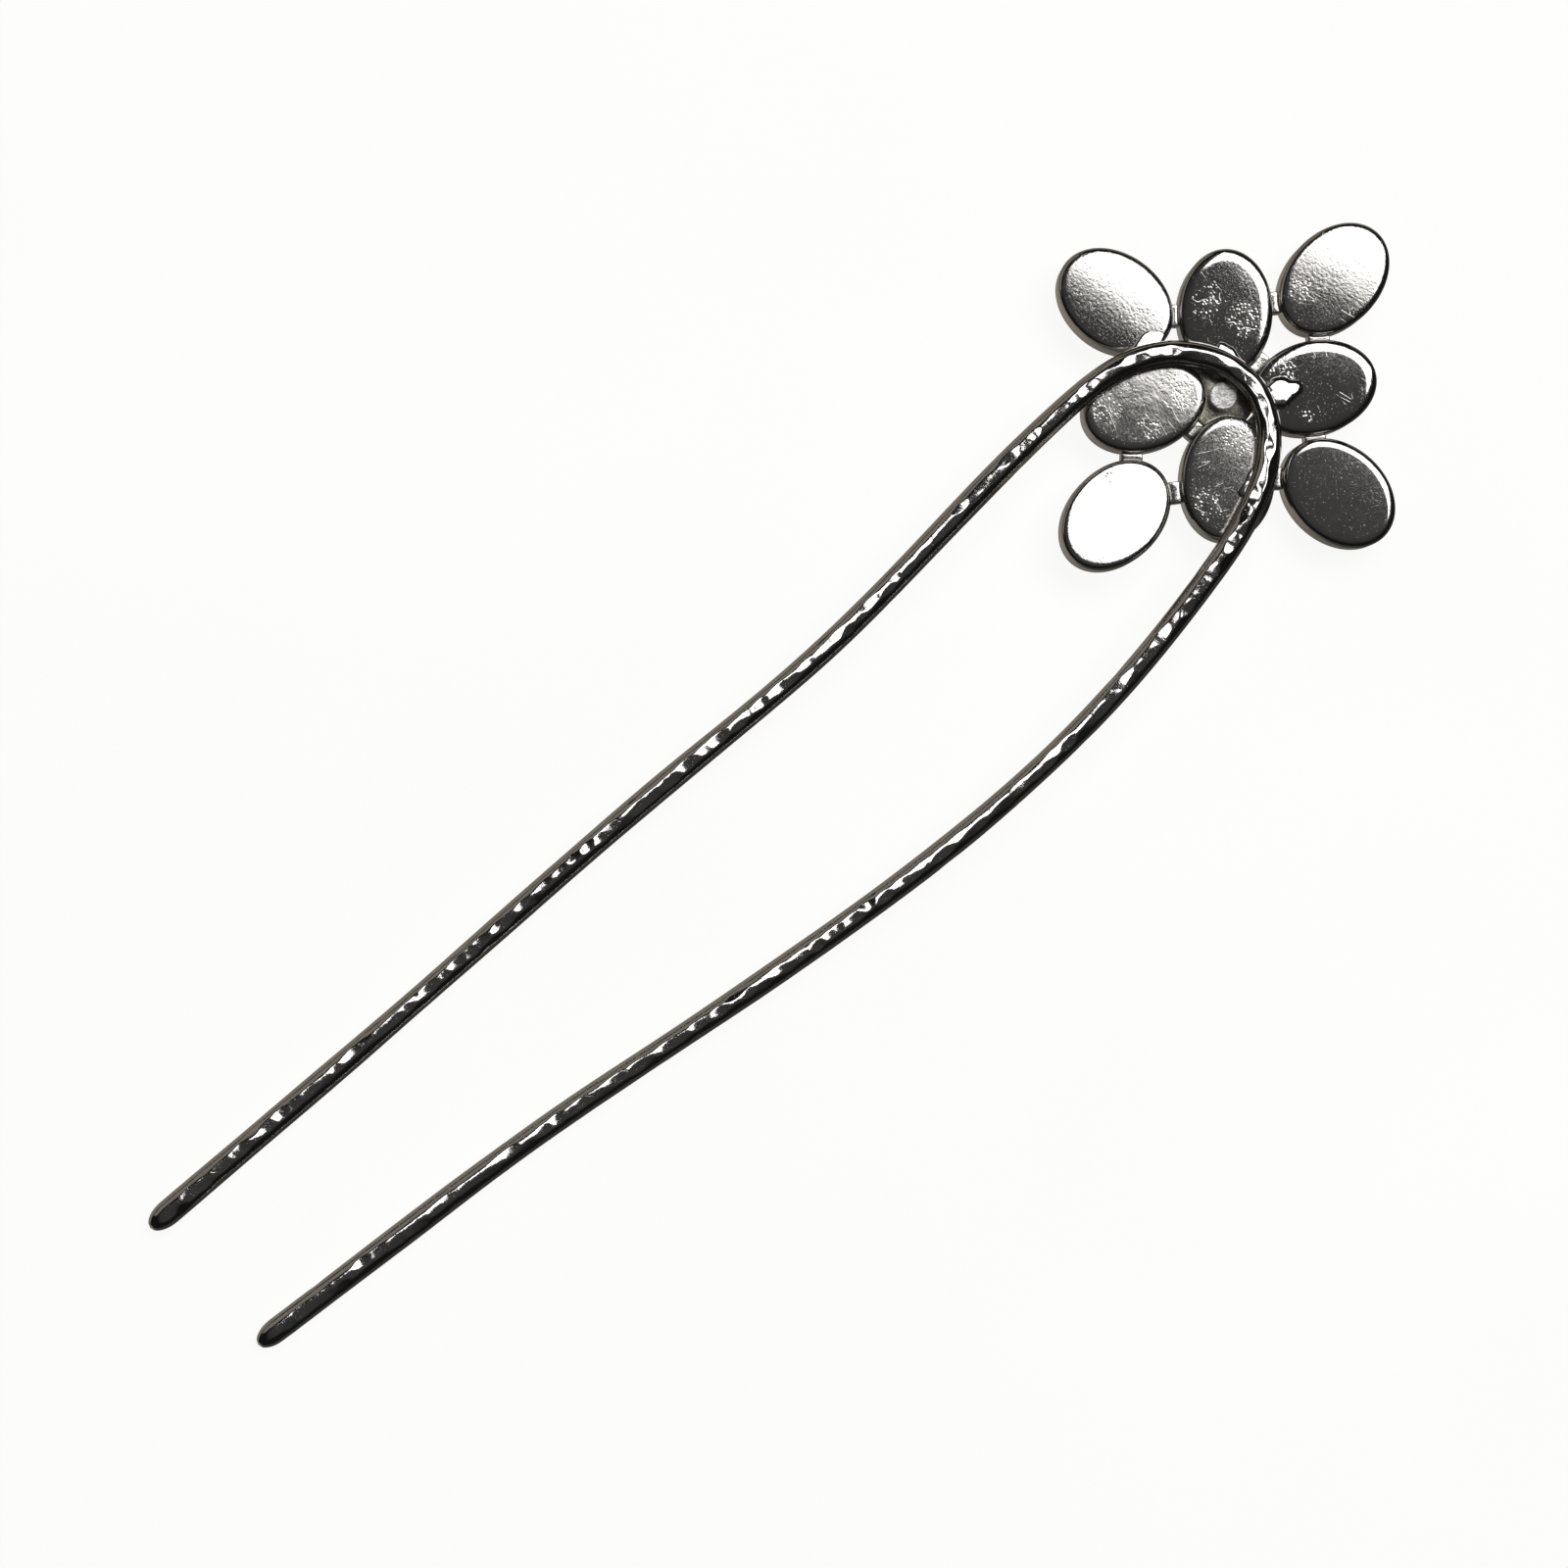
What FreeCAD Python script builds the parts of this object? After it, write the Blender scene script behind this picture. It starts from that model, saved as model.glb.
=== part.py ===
import FreeCAD, Part
import math
import os

import Sketcher

# Two-pronged hair pin with a flower of oval stone settings.
#
# The pin lies on the tables of its stones. Origin: the middle of the centre
# stone's table, in the plane the pin rests on. +Z points up to the back of the pin, where the bent wire is
# soldered on. +Y runs along the pin, from the prongs to the flower, and +X goes
# across the two prongs. All lengths are millimetres, all angles degrees.

Vector = FreeCAD.Vector
UP = Vector(0, 0, 1)
SAME_HEIGHT = 1e-4

doc = FreeCAD.newDocument("HairPin")
sheet = doc.addObject("Spreadsheet::Sheet", "Sizes")
sheet_rows = 0


def size(alias, value):
    """Put one driving dimension in the next row of the sheet."""
    global sheet_rows
    sheet_rows += 1
    sheet.set(f"A{sheet_rows}", alias)
    sheet.set(f"B{sheet_rows}", str(value))
    sheet.setAlias(f"B{sheet_rows}", alias)


# Oval cups, pressed with a closed back and a ledge for the stone.
size("cup_length", 11.0)
size("cup_width", 8.2)
size("cup_height", 3.2)
size("back_rounding", 0.8)
size("rim_rounding", 0.2)
size("seat_length", 10.1)
size("seat_width", 7.1)
size("seat_depth", 1.05)
size("cavity_length", 8.4)
size("cavity_width", 5.9)
size("cavity_depth", 2.4)

# Faceted stones. The table is the face the pin lies on.
size("stone_length", 10.0)
size("stone_width", 7.0)
size("stone_sides", 16)
size("crown_above_rim", 1.1)
size("crown_inside_rim", 0.4)
size("girdle_height", 0.4)
size("stone_depth", 3.2)

# The cut: widths of the facet lines as shares of the girdle, and how far up the
# crown and the pavilion the middle facet lines lie.
size("table_share", 0.6)
size("star_share", 0.84)
size("star_rise", 0.55)
size("main_share", 0.55)
size("main_rise", 0.5)
size("culet_share", 0.08)

# Centre of the flower.
size("hub_radius", 2.9)
size("hub_height", 2.3)
size("hub_seat_radius", 1.05)
size("hub_seat_depth", 1.2)
size("post_radius", 1.25)
size("post_height", 1.0)
size("post_edge", 0.12)
size("chaton_radius", 1.0)
size("chaton_crown_inside", 0.1)
size("chaton_girdle", 0.2)
size("chaton_depth", 2.0)
size("chaton_sides", 12)

# Bridges between neighbouring cups.
size("link_width", 1.9)
size("link_height", 1.7)
size("link_lift", 0.5)
size("link_reach", 1.5)

# The bent wire and its solder.
size("wire_radius", 1.025)
size("joint_gap", 0.1)
size("nose_length", 2.2)
size("bend_apex_x", 0.63)
size("bend_apex_y", 2.32)
size("left_end", 118.9)
size("right_end", 118.2)
size("left_splay", 0.5)
size("right_splay", 2.6)
size("level_until", 17.6)
size("solder_height", 0.75)

# Where the wire runs: distance behind the centre stone, then how far the left
# and the right prong stand off the pin's axis. The first row is where the straight
# ends of the prongs start.
STATIONS = [
    (97.60, 4.63, 10.45),
    (74.60, 5.10, 12.35),
    (57.60, 5.30, 14.00),
    (40.60, 5.35, 14.80),
    (25.60, 6.75, 13.95),
    (11.60, 7.97, 11.30),
    (3.20, 6.95, 8.35),
    (-0.85, 3.60, 4.95),
]
for row, (behind, left, right) in enumerate(STATIONS, 1):
    size(f"station_{row}_behind", behind)
    size(f"station_{row}_left", left)
    size(f"station_{row}_right", right)

# Where each cup sits in the flower, counted clockwise from the one farthest from
# the prongs: distance from the centre stone, bearing from +X, and the direction of the
# cup's long axis. The cups were set by hand, so no two are quite alike.
OUTER_CUPS = [
    (14.17, 96.68, 97.6),
    (13.16, 10.49, 7.8),
    (13.88, -81.98, -84.1),
    (12.54, -171.74, -166.7),
]
INNER_CUPS = [
    (8.04, 55.85, 63.0),
    (7.16, -36.01, -42.0),
    (6.86, -124.70, -112.5),
    (7.41, 138.01, 140.2),
]
for ring, cups in (("outer", OUTER_CUPS), ("inner", INNER_CUPS)):
    for number, (radius, bearing, turn) in enumerate(cups, 1):
        size(f"{ring}_{number}_radius", radius)
        size(f"{ring}_{number}_bearing", bearing)
        size(f"{ring}_{number}_turn", turn)

# Where the wire is soldered down, to the far inner cup, its right-hand and its
# left-hand neighbour, and the left outer cup: each pad's centre and half sizes.
SOLDER = [
    (3.0, 4.1, 1.5, 1.9),
    (7.7, -2.6, 1.5, 1.9),
    (-7.7, -2.2, 1.1, 1.7),
    (-2.4, 2.1, 1.8, 1.4),
]
for row, (x, y, half_x, half_y) in enumerate(SOLDER, 1):
    size(f"solder_{row}_x", x)
    size(f"solder_{row}_y", y)
    size(f"solder_{row}_half_x", half_x)
    size(f"solder_{row}_half_y", half_y)

doc.recompute()


def read(alias):
    return float(getattr(sheet, alias))


def bind(thing, **expressions):
    """Bind properties to the sheet. A double underscore stands for a dot."""
    for name, expression in expressions.items():
        thing.setExpression(name.replace("__", "."), expression)


def bind_cup_place(thing, ring, number):
    """Put a thing at a cup's place in the flower, turned like the cup."""
    key = f"Sizes.{ring}_{number}"
    thing.Placement = FreeCAD.Placement(Vector(1, 1, 0), FreeCAD.Rotation(UP, 10))
    bind(
        thing,
        Placement__Base__x=f"{key}_radius * cos({key}_bearing * 1 deg)",
        Placement__Base__y=f"{key}_radius * sin({key}_bearing * 1 deg)",
        Placement__Rotation__Angle=f"{key}_turn * 1 deg",
    )


# --- Oval cups -----------------------------------------------------------------


def oval_sketch(body, name, length_alias, width_alias):
    """An ellipse on the rim plane, its long axis along the body's X."""
    sketch = body.newObject("Sketcher::SketchObject", name)
    plane = [f for f in body.Origin.OriginFeatures if f.Role == "XY_Plane"][0]
    sketch.AttachmentSupport = (plane, [""])
    sketch.MapMode = "FlatFace"
    sketch.setExpression("AttachmentOffset.Base.z", "Sizes.crown_above_rim")
    sketch.addGeometry(Part.Ellipse(Vector(0, 0, 0), 4.0, 3.0), False)
    sketch.exposeInternalGeometry(0)
    sketch.addConstraint(Sketcher.Constraint("Coincident", 0, 3, -1, 1))
    sketch.addConstraint(Sketcher.Constraint("Horizontal", 1))
    long_axis = sketch.addConstraint(Sketcher.Constraint("Distance", 1, 8.0))
    short_axis = sketch.addConstraint(Sketcher.Constraint("Distance", 2, 6.0))
    sketch.setExpression(f"Constraints[{long_axis}]", f"Sizes.{length_alias}")
    sketch.setExpression(f"Constraints[{short_axis}]", f"Sizes.{width_alias}")
    return sketch


def edges_at(shape, height):
    """Numbers of the edges that lie at one height."""
    numbers = []
    for number, edge in enumerate(shape.Edges, 1):
        box = edge.BoundBox
        if abs(box.ZMin - height) < SAME_HEIGHT and abs(box.ZMax - height) < SAME_HEIGHT:
            numbers.append(number)
    return numbers


def edge_names(shape, height):
    return [f"Edge{number}" for number in edges_at(shape, height)]


def add_cup(ring, number):
    """An oval cup: closed rounded back, open front, a ledge and a cavity."""
    name = f"{ring}_cup_{number}"
    body = doc.addObject("PartDesign::Body", name)
    body.Label = name

    shell = body.newObject("PartDesign::Pad", f"{name}_shell")
    shell.Profile = oval_sketch(body, f"{name}_outline", "cup_length", "cup_width")
    bind(shell, Length="Sizes.cup_height")
    doc.recompute()

    rim = read("crown_above_rim")
    back = body.newObject("PartDesign::Fillet", f"{name}_back")
    back.Base = (shell, edge_names(shell.Shape, rim + read("cup_height")))
    bind(back, Radius="Sizes.back_rounding")
    doc.recompute()

    front = body.newObject("PartDesign::Fillet", f"{name}_rim")
    front.Base = (back, edge_names(back.Shape, rim))
    bind(front, Radius="Sizes.rim_rounding")

    for cut, length, width, depth in (
        ("seat", "seat_length", "seat_width", "seat_depth"),
        ("cavity", "cavity_length", "cavity_width", "cavity_depth"),
    ):
        pocket = body.newObject("PartDesign::Pocket", f"{name}_{cut}")
        pocket.Profile = oval_sketch(body, f"{name}_{cut}_outline", length, width)
        pocket.Reversed = True
        bind(pocket, Length=f"Sizes.{depth}")
    bind_cup_place(body, ring, number)
    return body


def add_outline(ring, number):
    """The full upright prism of a cup's outline, to trim its neighbours with."""
    oval = doc.addObject("Part::Ellipse", f"{ring}_{number}_oval")
    bind(oval, MajorRadius="Sizes.cup_length / 2", MinorRadius="Sizes.cup_width / 2")
    bind_cup_place(oval, ring, number)
    prism = doc.addObject("Part::Extrusion", f"{ring}_{number}_prism")
    prism.Base = oval
    prism.DirMode = "Custom"
    prism.Dir = UP
    prism.Solid = True
    bind(prism, LengthFwd="Sizes.crown_above_rim + Sizes.cup_height")
    return prism


# --- Faceted stones ------------------------------------------------------------


def ring_of_corners(half_length, half_width, height, sides, turn):
    """Corners of one facet line, on an ellipse at one height."""
    corners = []
    for step in range(sides):
        angle = 2 * math.pi * (step + turn) / sides
        x = half_length * math.cos(angle)
        y = half_width * math.sin(angle)
        corners.append(Vector(x, y, height))
    return corners


def facet(corners):
    return Part.Face(Part.makePolygon(corners + corners[:1]))


def facets_between(low, high):
    """Two bands of triangles between facet lines half a step apart."""
    faces = []
    sides = len(low)
    for step in range(sides):
        after = (step + 1) % sides
        faces.append(facet([low[step], low[after], high[step]]))
        faces.append(facet([high[step], low[after], high[after]]))
    return faces


def upright_facets(low, high):
    """Flat four-sided facets between facet lines that are in step."""
    faces = []
    sides = len(low)
    for step in range(sides):
        after = (step + 1) % sides
        faces.append(facet([low[step], low[after], high[after], high[step]]))
    return faces


def faceted_stone(half_length, half_width, crown, girdle, depth, sides):
    """A brilliant-cut stone, table down at z = 0 and point up at z = depth."""
    pavilion = depth - crown - girdle
    main_height = crown + girdle + pavilion * read("main_rise")
    half_step = 0.5
    lines = []
    for scale, height, turn in (
        (read("table_share"), 0.0, 0.0),
        (read("star_share"), crown * read("star_rise"), half_step),
        (1.0, crown, 0.0),
        (1.0, crown + girdle, 0.0),
        (read("main_share"), main_height, half_step),
        (read("culet_share"), depth, 0.0),
    ):
        line = ring_of_corners(half_length * scale, half_width * scale, height, sides, turn)
        lines.append(line)
    table, star, top, bottom, main, culet = lines
    faces = [facet(table), facet(culet)]
    faces += facets_between(table, star)
    faces += facets_between(star, top[1:] + top[:1])
    faces += upright_facets(top, bottom)
    faces += facets_between(bottom, main)
    faces += facets_between(main, culet[1:] + culet[:1])
    solid = Part.Solid(Part.Shell(faces))
    if solid.Volume < 0:
        solid.reverse()
    return solid


def add_stone(ring, number):
    """An oval stone, resting by its girdle on the ledge of its cup."""
    name = f"{ring}_stone_{number}"
    stone = doc.addObject("Part::Feature", name)
    stone.Label = name
    crown = read("crown_above_rim") + read("crown_inside_rim")
    stone.Shape = faceted_stone(
        read("stone_length") / 2,
        read("stone_width") / 2,
        crown,
        read("girdle_height"),
        read("stone_depth"),
        int(read("stone_sides")),
    )
    bind_cup_place(stone, ring, number)
    return stone


# --- Centre of the flower ------------------------------------------------------


def add_hub(prisms):
    """The star-shaped filler between the inner cups, with a seat for a stone."""
    disc = doc.addObject("Part::Cylinder", "hub_disc")
    bind(disc, Radius="Sizes.hub_radius", Height="Sizes.hub_height")
    bind(disc, Placement__Base__z="Sizes.crown_above_rim")
    seat = doc.addObject("Part::Cylinder", "hub_seat")
    bind(seat, Radius="Sizes.hub_seat_radius", Height="Sizes.hub_seat_depth")
    bind(seat, Placement__Base__z="Sizes.crown_above_rim")
    tools = doc.addObject("Part::MultiFuse", "hub_tools")
    tools.Shapes = [seat] + prisms
    hub = doc.addObject("Part::Cut", "centre_hub")
    hub.Base = disc
    hub.Tool = tools
    hub.Label = "centre_hub"
    return hub, disc


def add_post():
    """The stub on the back of the hub, ground flat at the top."""
    stub = doc.addObject("Part::Cylinder", "post_stub")
    bind(
        stub,
        Radius="Sizes.post_radius",
        Height="Sizes.post_height",
        Placement__Base__z="Sizes.crown_above_rim + Sizes.hub_height",
    )
    doc.recompute()
    top = read("crown_above_rim") + read("hub_height") + read("post_height")
    chamfer = read("post_edge")
    post = doc.addObject("Part::Chamfer", "centre_post")
    post.Base = stub
    post.Edges = [(edge, chamfer, chamfer) for edge in edges_at(stub.Shape, top)]
    post.Label = "centre_post"
    return post


def add_centre_stone():
    stone = doc.addObject("Part::Feature", "centre_stone")
    stone.Label = "centre_stone"
    radius = read("chaton_radius")
    stone.Shape = faceted_stone(
        radius,
        radius,
        read("crown_above_rim") + read("chaton_crown_inside"),
        read("chaton_girdle"),
        read("chaton_depth"),
        int(read("chaton_sides")),
    )
    return stone


# --- Bridges between the cups --------------------------------------------------


def add_link(name, prism_a, prism_b, trimmed_to=()):
    """A bar over the narrowest place between two cups, trimmed to what it meets."""
    _, pairs, _ = prism_a.Shape.distToShape(prism_b.Shape)
    near_a, near_b = pairs[0]
    across = Vector(near_b.x - near_a.x, near_b.y - near_a.y, 0)
    middle = Vector((near_a.x + near_b.x) / 2, (near_a.y + near_b.y) / 2, 0)
    angle = math.degrees(math.atan2(across.y, across.x))
    turn = FreeCAD.Rotation(UP, angle)
    half_width = read("link_width") / 2
    low_corner = Vector(-read("link_reach"), -half_width, 0)
    start = middle + turn.multVec(low_corner)
    start.z = read("crown_above_rim") + read("link_lift")

    bar = doc.addObject("Part::Box", f"{name}_bar")
    bind(
        bar,
        Length="2 * Sizes.link_reach",
        Width="Sizes.link_width",
        Height="Sizes.link_height",
    )
    bar.Placement = FreeCAD.Placement(start, turn)
    walls = doc.addObject("Part::MultiFuse", f"{name}_walls")
    walls.Shapes = [prism_a, prism_b, *trimmed_to]
    link = doc.addObject("Part::Cut", name)
    link.Base = bar
    link.Tool = walls
    link.Label = name
    return link


# --- The bent wire -------------------------------------------------------------


def wire_height(behind):
    """Height of the wire's axis: level over the cups, then easing down to rest."""
    head = read("crown_above_rim") + read("cup_height") + read("joint_gap")
    drop = (behind - read("level_until")) / (read("station_1_behind") - read("level_until"))
    drop = min(max(drop, 0.0), 1.0)
    ease = drop * drop * (3 - 2 * drop)
    return read("wire_radius") + head * (1 - ease)


def prong_end(side, length_alias, splay_alias, station_alias):
    """The straight end of a prong: where it starts, where its nose starts, its way."""
    splay = math.radians(read(splay_alias))
    way = Vector(-side * math.sin(splay), -math.cos(splay), 0)
    behind = read("station_1_behind")
    start = Vector(side * read(station_alias), -behind, wire_height(behind))
    length = (read(length_alias) - behind) / math.cos(splay) - read("nose_length")
    return start, start + way * length, way


def add_wire():
    """One round wire: two straight prong ends and a spline round the bend."""
    left_start, left_stop, left_way = prong_end(-1, "left_end", "left_splay", "station_1_left")
    right_start, right_stop, right_way = prong_end(
        1, "right_end", "right_splay", "station_1_right"
    )
    left_side = []
    right_side = []
    for row in range(2, len(STATIONS) + 1):
        behind = read(f"station_{row}_behind")
        height = wire_height(behind)
        left_side.append(Vector(-read(f"station_{row}_left"), -behind, height))
        right_side.append(Vector(read(f"station_{row}_right"), -behind, height))
    apex = Vector(read("bend_apex_x"), read("bend_apex_y"), wire_height(0))
    points = [left_start] + left_side + [apex] + right_side[::-1] + [right_start]
    curve = Part.BSplineCurve()
    curve.interpolate(Points=points, InitialTangent=-left_way, FinalTangent=right_way)

    spine = doc.addObject("Part::Feature", "wire_spine")
    spine.Shape = Part.Wire(
        [
            Part.LineSegment(left_stop, left_start).toShape(),
            curve.toShape(),
            Part.LineSegment(right_start, right_stop).toShape(),
        ]
    )
    section = doc.addObject("Part::Circle", "wire_section")
    bind(section, Radius="Sizes.wire_radius")
    section.Placement = FreeCAD.Placement(left_stop, FreeCAD.Rotation(UP, -left_way))
    sweep = doc.addObject("Part::Sweep", "wire_sweep")
    sweep.Sections = [section]
    sweep.Spine = (spine, ["Edge1", "Edge2", "Edge3"])
    sweep.Solid = True
    sweep.Frenet = False

    pieces = [sweep]
    for side, stop, way in (("left", left_stop, left_way), ("right", right_stop, right_way)):
        nose = doc.addObject("Part::Ellipsoid", f"{side}_nose")
        nose.Angle1 = 0
        nose.Angle2 = 90
        bind(
            nose,
            Radius1="Sizes.nose_length",
            Radius2="Sizes.wire_radius",
            Radius3="Sizes.wire_radius",
        )
        nose.Placement = FreeCAD.Placement(stop, FreeCAD.Rotation(UP, way))
        pieces.append(nose)
    fork = doc.addObject("Part::MultiFuse", "fork_wire")
    fork.Shapes = pieces
    fork.Label = "fork_wire"
    return fork


def add_solder(row, fork):
    """Solder that has run along the wire, over the back of one cup."""
    name = f"solder_joint_{row}"
    bead = doc.addObject("Part::Ellipsoid", f"{name}_bead")
    bead.Angle1 = 0
    bead.Angle2 = 90
    key = f"Sizes.solder_{row}"
    bind(
        bead,
        Radius1="Sizes.solder_height",
        Radius2=f"{key}_half_x",
        Radius3=f"{key}_half_y",
        Placement__Base__x=f"{key}_x",
        Placement__Base__y=f"{key}_y",
        Placement__Base__z="Sizes.crown_above_rim + Sizes.cup_height",
    )
    solder = doc.addObject("Part::Cut", name)
    solder.Base = bead
    solder.Tool = fork
    solder.Label = name
    return solder


# --- Assembly ------------------------------------------------------------------

nodes = []
prisms = {}
for ring in ("outer", "inner"):
    for number in (1, 2, 3, 4):
        nodes.append(add_cup(ring, number))
        nodes.append(add_stone(ring, number))
        prisms[ring, number] = add_outline(ring, number)
doc.recompute()

hub, hub_disc = add_hub([prisms["inner", number] for number in (1, 2, 3, 4)])
nodes.append(hub)
nodes.append(add_post())
nodes.append(add_centre_stone())

# Each outer cup sits between two inner cups, so eight bridges close the outer
# ring and four more join the inner cups to each other.
OUTER_NEIGHBOURS = [(1, 1), (2, 1), (2, 2), (3, 2), (3, 3), (4, 3), (4, 4), (1, 4)]
for row, (outer, inner) in enumerate(OUTER_NEIGHBOURS, 1):
    name = f"outer_link_{row}"
    nodes.append(add_link(name, prisms["outer", outer], prisms["inner", inner]))
for row, (first, second) in enumerate([(1, 2), (2, 3), (3, 4), (4, 1)], 1):
    name = f"inner_link_{row}"
    pair = (prisms["inner", first], prisms["inner", second])
    nodes.append(add_link(name, *pair, trimmed_to=(hub_disc,)))

fork_wire = add_wire()
nodes.append(fork_wire)
for row in range(1, len(SOLDER) + 1):
    nodes.append(add_solder(row, fork_wire))

doc.recompute()

for item in doc.Objects:
    if "Invalid" in item.State or "Error" in item.State:
        raise RuntimeError(f"{item.Label} failed: {item.State}")
for node in nodes:
    if node.Shape.isNull() or not node.Shape.isValid():
        raise RuntimeError(f"{node.Label} has no valid shape")

os.makedirs("parts", exist_ok=True)
for node in nodes:
    node.Shape.exportStep(f"parts/{node.Label}.step")
    shape = node.Shape
    print(node.Label, len(shape.Solids), round(shape.Volume, 3))
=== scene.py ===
import math

import bmesh
import bpy
import numpy as np
from mathutils import Matrix, Vector, noise
from mathutils.bvhtree import BVHTree


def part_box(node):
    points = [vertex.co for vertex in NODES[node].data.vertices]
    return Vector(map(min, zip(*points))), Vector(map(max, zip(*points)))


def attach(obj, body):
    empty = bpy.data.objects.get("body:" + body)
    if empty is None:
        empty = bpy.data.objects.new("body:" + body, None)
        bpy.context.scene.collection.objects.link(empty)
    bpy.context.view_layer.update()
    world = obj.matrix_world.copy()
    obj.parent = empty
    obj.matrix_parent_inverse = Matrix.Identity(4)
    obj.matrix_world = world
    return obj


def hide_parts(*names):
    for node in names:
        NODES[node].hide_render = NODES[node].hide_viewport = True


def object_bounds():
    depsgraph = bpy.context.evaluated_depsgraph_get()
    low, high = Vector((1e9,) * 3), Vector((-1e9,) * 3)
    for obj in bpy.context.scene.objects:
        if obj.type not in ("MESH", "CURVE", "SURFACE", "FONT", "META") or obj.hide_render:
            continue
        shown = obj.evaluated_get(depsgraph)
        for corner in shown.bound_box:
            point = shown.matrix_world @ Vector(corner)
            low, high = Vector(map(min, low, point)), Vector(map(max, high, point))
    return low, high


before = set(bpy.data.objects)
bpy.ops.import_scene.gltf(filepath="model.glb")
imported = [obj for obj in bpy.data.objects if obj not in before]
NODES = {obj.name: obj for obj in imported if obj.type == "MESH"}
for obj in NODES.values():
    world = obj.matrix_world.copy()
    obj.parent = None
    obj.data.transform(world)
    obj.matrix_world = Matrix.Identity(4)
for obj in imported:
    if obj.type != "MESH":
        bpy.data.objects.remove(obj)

# A two-pronged hair pin lying on its front. X goes across the prongs, Y runs from
# the prongs to the flower, Z is up. Lengths are metres; MM turns millimetres into
# metres.

MM = 0.001
CAD_BOX = [list(corner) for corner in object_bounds()]
RNG = np.random.default_rng(7)

CUP_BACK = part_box("outer_cup_1")[1].z
CUP_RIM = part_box("outer_cup_1")[0].z


# --- Mesh helpers --------------------------------------------------------------


def node_points(name):
    """The vertices of a CAD node, as an array."""
    mesh = NODES[name].data
    points = np.empty(len(mesh.vertices) * 3, np.float32)
    mesh.vertices.foreach_get("co", points)
    return points.reshape(-1, 3).astype(float)


def new_piece(name, points, faces, material, stands_for):
    """A smooth-shaded mesh that rides on the pin and stands for a CAD node."""
    mesh = bpy.data.meshes.new(name)
    mesh.from_pydata([tuple(p) for p in points], [], faces)
    mesh.update()
    mesh.polygons.foreach_set("use_smooth", [True] * len(mesh.polygons))
    mesh.materials.append(material)
    piece = bpy.data.objects.new(name, mesh)
    bpy.context.scene.collection.objects.link(piece)
    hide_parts(stands_for)
    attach(piece, "root")
    return piece


def tube_faces(rings, around, closed_ends=True):
    """Quads between rings of points, and a fan at each end point."""
    faces = []
    for ring in range(rings - 1):
        for step in range(around):
            after = (step + 1) % around
            low = ring * around
            high = low + around
            faces.append((low + step, low + after, high + after, high + step))
    if closed_ends:
        first_tip = rings * around
        last = (rings - 1) * around
        for step in range(around):
            after = (step + 1) % around
            faces.append((first_tip, after, step))
            faces.append((first_tip + 1, last + step, last + after))
    return faces


def wander(points, size, seed):
    """Smooth noise at each point, between about -1 and 1, with features of a size."""
    shift = Vector((seed * 13.7, seed * 5.1, seed * 9.3))
    return np.array([noise.noise(Vector(p) / size + shift) for p in points])


# --- Materials -----------------------------------------------------------------


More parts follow.
